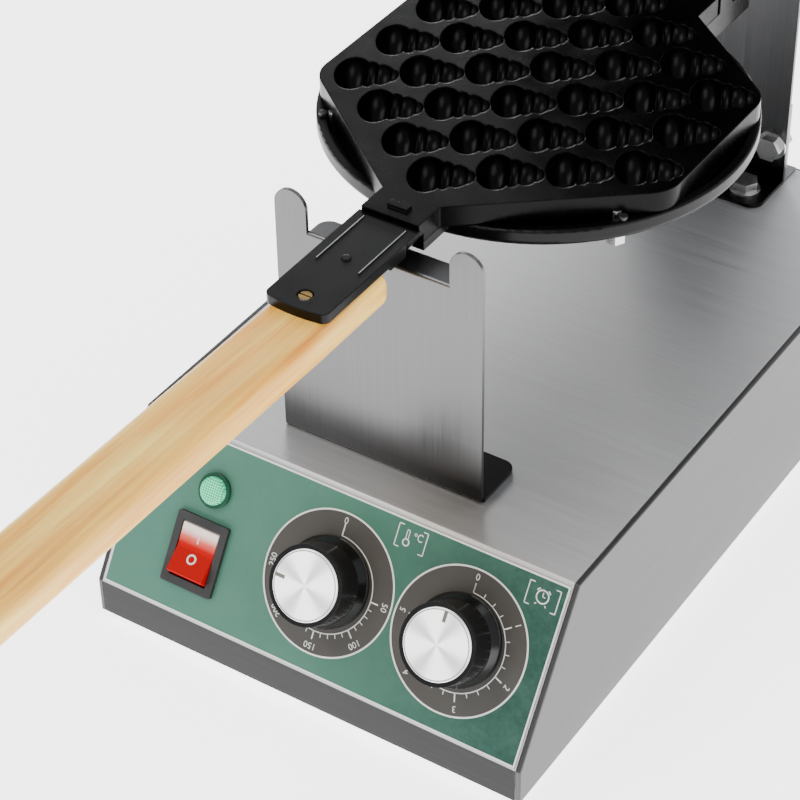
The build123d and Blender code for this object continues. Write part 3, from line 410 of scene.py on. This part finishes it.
ASSIGN = {
    "base_shell": "steel_top", "side_panel_left": "steel_side_shaded", "side_panel_right": "steel_side_shaded", "rear_panel": "steel_rear_shaded",
    "bottom_plate": "steel_top", "front_bracket": "steel_bracket_shaded", "rear_bracket": "steel_bracket_shaded", "rear_stiffener": "steel_rear_shaded", "lower_mould_screws": "black_screw", "upper_mould_screws": "black_screw",
    "lower_mould": "casting", "upper_mould": "casting", "lower_dish": "dish", "upper_dish": "dish",
    "lower_handle": "wood_low", "upper_handle": "wood_up", "lower_handle_screw": "brass_dark", "upper_handle_screw": "brass_dark",
    "bearing_bush": "brass", "lower_element": "element", "upper_element": "element", "rubber_feet": "rubber",
    "switch_housing": "black_matt", "cable_gland": "black_matt", "temp_skirt": "black", "timer_skirt": "black",
    "thermostat": "grey", "timer_unit": "grey", "terminal_block": "white_plastic", "panel_label": "fascia",
    "lamp_bezel": "green_bezel", "lamp_lens": "lens", "rocker": "red", "temp_cap": "cap_temp", "timer_cap": "cap_time",
}
for name, ob in nodes.items():
    mt = M[ASSIGN.get(name, "fastener")]
    ob.data.materials.clear()
    ob.data.materials.append(mt)


# ------------------------------------------------------------------ small printed and inlaid pieces
def prism_mesh(name, loops, z0, z1):
    """Thin solid from closed 2-D outlines (mm). Each item is one outline, or an (outer, inner) pair with equal counts."""
    bm = bmesh.new()
    for lp in loops:
        if isinstance(lp, tuple):
            out, inn = lp
            n = len(out)
            rings = [[bm.verts.new((x / 1000, y / 1000, z / 1000)) for x, y in pts] for pts in (out, inn) for z in (z0, z1)]
            o0, o1, i0, i1 = rings
            for k in range(n):
                j = (k + 1) % n
                bm.faces.new((o1[k], o1[j], i1[j], i1[k]))
                bm.faces.new((o0[j], o0[k], i0[k], i0[j]))
                bm.faces.new((o0[k], o0[j], o1[j], o1[k]))
                bm.faces.new((i0[j], i0[k], i1[k], i1[j]))
        else:
            a = [bm.verts.new((x / 1000, y / 1000, z0 / 1000)) for x, y in lp]
            b = [bm.verts.new((x / 1000, y / 1000, z1 / 1000)) for x, y in lp]
            n = len(lp)
            bm.faces.new(b)
            bm.faces.new(a[::-1])
            for k in range(n):
                j = (k + 1) % n
                bm.faces.new((a[k], a[j], b[j], b[k]))
    bmesh.ops.recalc_face_normals(bm, faces=bm.faces)
    me = bpy.data.meshes.new(name)
    bm.to_mesh(me)
    bm.free()
    return me


def put(name, me, mat, m, body):
    ob = bpy.data.objects.new(name, me)
    scene.collection.objects.link(ob)
    me.materials.append(mat)
    ob.matrix_world = m
    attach(ob, body)
    return ob


def circ(x, y, r, n=96):
    return [(x + r * math.cos(2 * math.pi * k / n), y + r * math.sin(2 * math.pi * k / n)) for k in range(n)]


def bar(x, y, ang, r0, r1, w):
    """A tick from radius r0 to r1 at the clockwise angle ang from 12 o'clock."""
    a = math.radians(90 - ang)
    dx, dy = math.cos(a), math.sin(a)
    px, py = -dy * w / 2, dx * w / 2
    return [(x + dx * r0 + px, y + dy * r0 + py), (x + dx * r0 - px, y + dy * r0 - py),
            (x + dx * r1 - px, y + dy * r1 - py), (x + dx * r1 + px, y + dy * r1 + py)]


def seg(x0, y0, x1, y1, w):
    d = math.hypot(x1 - x0, y1 - y0)
    px, py = -(y1 - y0) / d * w / 2, (x1 - x0) / d * w / 2
    return [(x0 + px, y0 + py), (x0 - px, y0 - py), (x1 - px, y1 - py), (x1 + px, y1 + py)]


def text(name, body_text, x, y, size, ang, mat, m, body, h):
    cu = bpy.data.curves.new(name, "FONT")
    cu.body = body_text
    cu.size = size / 1000
    cu.align_x = "CENTER"
    cu.align_y = "CENTER"
    cu.extrude = 0.00002
    cu.resolution_u = 4
    ob = bpy.data.objects.new(name, cu)
    scene.collection.objects.link(ob)
    cu.materials.append(mat)
    ob.matrix_world = m @ Matrix.Translation((x / 1000, y / 1000, h / 1000)) @ Matrix.Rotation(math.radians(ang), 4, "Z")
    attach(ob, body)
    return ob


H0 = 0.4
LX, S0, S1 = 121.4, 2.4, 93.4
b_out = [(-LX, -S1), (LX, -S1), (LX, -S0), (-LX, -S0)]
b_in = [(-LX + 1.0, -S1 + 1.0), (LX - 1.0, -S1 + 1.0), (LX - 1.0, -S0 - 1.0), (-LX + 1.0, -S0 - 1.0)]
put("fascia_border", prism_mesh("fascia_border", [(b_out, b_in)], H0, H0 + 0.05), M["print"], PANEL, "base")

TEMP = (0.9, -47.6)
TIME = (75.3, -47.8)
for tag, (cx, cy) in (("temp", TEMP), ("timer", TIME)):
    put(tag + "_field", prism_mesh(tag + "_field", [(circ(cx, cy, 36.2, 128), circ(cx, cy, 9.0, 128))], H0, H0 + 0.05),
        M["dial_field"], PANEL, "base")
    put(tag + "_ring", prism_mesh(tag + "_ring", [(circ(cx, cy, 36.6, 128), circ(cx, cy, 35.7, 128))], H0, H0 + 0.09),
        M["print"], PANEL, "base")

# temperature scale: 0 at the top, then 50 to 250 every 45 degrees from 90
loops = [bar(*TEMP, 0, 24.6, 31.0, 0.7)]
for i, a in enumerate((90, 135, 180, 225, 270)):
    loops.append(bar(*TEMP, a, 24.6, 29.0, 0.7))
    if i < 4:
        for k in range(1, 5):
            loops.append(bar(*TEMP, a + 9 * k, 24.6, 27.0, 0.45))
arc = [(TEMP[0] + r * math.cos(math.radians(90 - t)), TEMP[1] + r * math.sin(math.radians(90 - t)))
       for r, rng in ((24.9, range(0, 271, 3)), (24.4, range(270, -1, -3))) for t in rng]
loops.append(arc)
put("temp_scale", prism_mesh("temp_scale", loops, H0, H0 + 0.1), M["print"], PANEL, "base")
for a, s in ((0, "0"), (90, "50"), (135, "100"), (180, "150"), (225, "200"), (270, "250")):
    r = 32.3
    text("temp_no_" + s, s, TEMP[0] + r * math.sin(math.radians(a)), TEMP[1] + r * math.cos(math.radians(a)), 4.6, -a,
         M["print"], PANEL, "base", H0 + 0.08)

# timer scale: 0 at the top, one minute every 55 degrees
loops = [bar(*TIME, 0, 24.6, 29.4, 0.7)]
for i in range(6):
    a = i * 55.2
    loops.append(bar(*TIME, a, 24.6, 29.0, 0.7))
    if i < 5:
        for k in range(1, 4):
            loops.append(bar(*TIME, a + 13.8 * k, 24.6, 27.0, 0.45))
arc = [(TIME[0] + r * math.cos(math.radians(90 - t)), TIME[1] + r * math.sin(math.radians(90 - t)))
       for r, rng in ((24.9, range(0, 277, 3)), (24.4, range(276, -1, -3))) for t in rng]
loops.append(arc)
put("timer_scale", prism_mesh("timer_scale", loops, H0, H0 + 0.1), M["print"], PANEL, "base")
for i in range(6):
    a = i * 55.2
    r = 32.3
    text("timer_no_%d" % i, str(i), TIME[0] + r * math.sin(math.radians(a)), TIME[1] + r * math.cos(math.radians(a)), 4.6, -a,
         M["print"], PANEL, "base", H0 + 0.08)

# pictograms in brackets: thermometer and clock
def brackets(x0, x1, y0, y1, w=0.55, t=2.6):
    return [seg(x0, y0, x0, y1, w), seg(x0, y0, x0 + t, y0, w), seg(x0, y1, x0 + t, y1, w),
            seg(x1, y0, x1, y1, w), seg(x1 - t, y0, x1, y0, w), seg(x1 - t, y1, x1, y1, w)]


lp = brackets(28.5, 44.5, -16.8, -5.6)
lp += [(circ(34.2, -13.6, 2.0, 32), circ(34.2, -13.6, 1.3, 32)), seg(33.5, -12.0, 33.5, -7.6, 0.45), seg(34.9, -12.0, 34.9, -7.6, 0.45),
       seg(33.5, -7.4, 34.9, -7.4, 0.45), (circ(38.3, -8.3, 0.8, 24), circ(38.3, -8.3, 0.45, 24)),
       [(41.3 + r * math.cos(math.radians(t)), -9.1 + 1.12 * r * math.sin(math.radians(t)))
        for r, rng in ((1.75, range(45, 316, 15)), (1.25, range(315, 44, -15))) for t in rng]]
put("icon_thermometer", prism_mesh("icon_thermometer", lp, H0, H0 + 0.06), M["print"], PANEL, "base")
lp = brackets(101.0, 117.5, -17.6, -6.4)
lp += [(circ(109.2, -12.0, 3.5, 40), circ(109.2, -12.0, 2.8, 40)), seg(109.2, -12.0, 109.2, -9.9, 0.5), seg(109.2, -12.0, 110.7, -12.0, 0.5),
       seg(105.6, -9.6, 107.0, -8.3, 0.7), seg(111.4, -8.3, 112.8, -9.6, 0.7), seg(106.9, -15.6, 106.2, -16.4, 0.6), seg(111.5, -15.6, 112.2, -16.4, 0.6)]
put("icon_clock", prism_mesh("icon_clock", lp, H0, H0 + 0.06), M["print"], PANEL, "base")

# pointers let into the silver caps, and the bright ring round each cap
for tag, cx, cy, ang, body in (("temp", 0.9, -46.7, 270, "temperature_knob"), ("timer", 75.3, -46.9, 0, "timer_knob")):
    put(tag + "_pointer", prism_mesh(tag + "_pointer", [bar(cx, cy, ang, 11.4, 16.9, 1.9)], 23.6, 23.88), M["notch"], PANEL, body)
    put(tag + "_cap_ring", prism_mesh(tag + "_cap_ring", [(circ(cx, cy, 17.15, 96), circ(cx, cy, 16.55, 96))], 23.6, 23.86), M["cap_rim_and_ridge_highlight"], PANEL, body)

# painted highlight: thin pale strips laid along the two ridges on each dish stand in for light on their edges
for tag, fr, body in (("lower", LOWER, "iron"), ("upper", UPPER, "lid")):
    lp = [[(x - 0.28, -174.8), (x + 0.28, -174.8), (x + 0.28, -136.3), (x - 0.28, -136.3)] for x in (-11.4, 11.4)]
    put(tag + "_ridge_painted_highlight", prism_mesh(tag + "_ridge_painted_highlight", lp, -1.72, -1.66), M["cap_rim_and_ridge_highlight"], fr, body)

# I and O on the rocker
PIV = -1.5
va, vh = 3.9 * math.sin(math.radians(10)), PIV + 3.9 * math.cos(math.radians(10))
ROCK = PANEL @ Matrix.Translation((-0.0737, -0.061, 0))
up_f = ROCK @ Matrix.Translation((0, va / 1000, vh / 1000))
lo_f = ROCK @ Matrix.Translation((0, va / 1000, vh / 1000)) @ Matrix.Rotation(math.radians(-20), 4, "X")
put("rocker_mark_on", prism_mesh("rocker_mark_on", [seg(0, 4.4, 0, 8.4, 0.75)], 0.0, 0.06), M["print"], up_f, "rocker")
put("rocker_mark_off", prism_mesh("rocker_mark_off", [(circ(0, -3.9, 2.7, 48), circ(0, -3.9, 1.75, 48))], 0.0, 0.06), M["print"], lo_f, "rocker")

# ------------------------------------------------------------------ camera
az, el, roll = math.radians(33.73), math.radians(38.82), math.radians(-0.98)
fwd = Vector((-math.sin(az) * math.cos(el), math.cos(az) * math.cos(el), -math.sin(el)))
right = Vector((math.cos(az), math.sin(az), 0))
up = right.cross(fwd)
r2 = right * math.cos(roll) + up * math.sin(roll)
u2 = -right * math.sin(roll) + up * math.cos(roll)
cam = bpy.data.objects.new("camera", bpy.data.cameras.new("camera"))
scene.collection.objects.link(cam)
cam.data.sensor_width = 36
cam.data.lens = 36 * 2586.73 / 800
cam.data.clip_start, cam.data.clip_end = 0.05, 50
cam.matrix_world = basis(P(541.25, -769.91, 912.22), r2, u2, -fwd)
scene.camera = cam

# ------------------------------------------------------------------ stage and light
bm = bmesh.new()
bmesh.ops.create_grid(bm, x_segments=1, y_segments=1, size=6)
me = bpy.data.meshes.new("floor")
bm.to_mesh(me)
bm.free()
floor = bpy.data.objects.new("floor", me)
scene.collection.objects.link(floor)
fm = Mat("floor")
fn = fm.noise(fm.coords(), 3.0, 2.0, 0.5)
fm.link(fm.ramp(fn, [(0.3, (0.86, 0.86, 0.86)), (0.7, (0.88, 0.88, 0.88))]), fm.b.inputs["Base Color"])
fm.set(Roughness=0.9, Specular_IOR_Level=0.1, Emission_Color=(1, 1, 1, 1), Emission_Strength=3.2)
me.materials.append(fm.m)
floor.location = (0, 0, -0.0005)

world = bpy.data.worlds.new("studio")
scene.world = world
world.use_nodes = True
world.node_tree.nodes["Background"].inputs["Color"].default_value = (0.95, 0.97, 1.0, 1)
world.node_tree.nodes["Background"].inputs["Strength"].default_value = 0.75


def area(name, loc, target, size, power, color=(1, 1, 1)):
    li = bpy.data.lights.new(name, "AREA")
    li.shape = "RECTANGLE"
    li.size, li.size_y = size
    li.energy = power
    li.color = color
    ob = bpy.data.objects.new(name, li)
    scene.collection.objects.link(ob)
    ob.location = loc
    d = Vector(target) - Vector(loc)
    ob.rotation_mode = "QUATERNION"
    ob.rotation_quaternion = d.to_track_quat("-Z", "Y")
    return ob


area("key", (-1.1, -0.9, 2.2), (0, 0, 0.15), (1.4, 1.4), 34)
area("fill", (1.8, -0.6, 1.3), (0, 0, 0.15), (1.2, 1.0), 16)
area("back", (0.3, 1.9, 1.8), (0, 0.1, 0.2), (1.6, 0.8), 8)
area("sheen", (-0.75, 1.25, 1.35), (0.05, 0.0, 0.1), (0.9, 0.7), 1.0)
area("low_back", (-1.25, 1.75, 0.62), (0, 0.1, 0.25), (0.45, 0.35), 10)
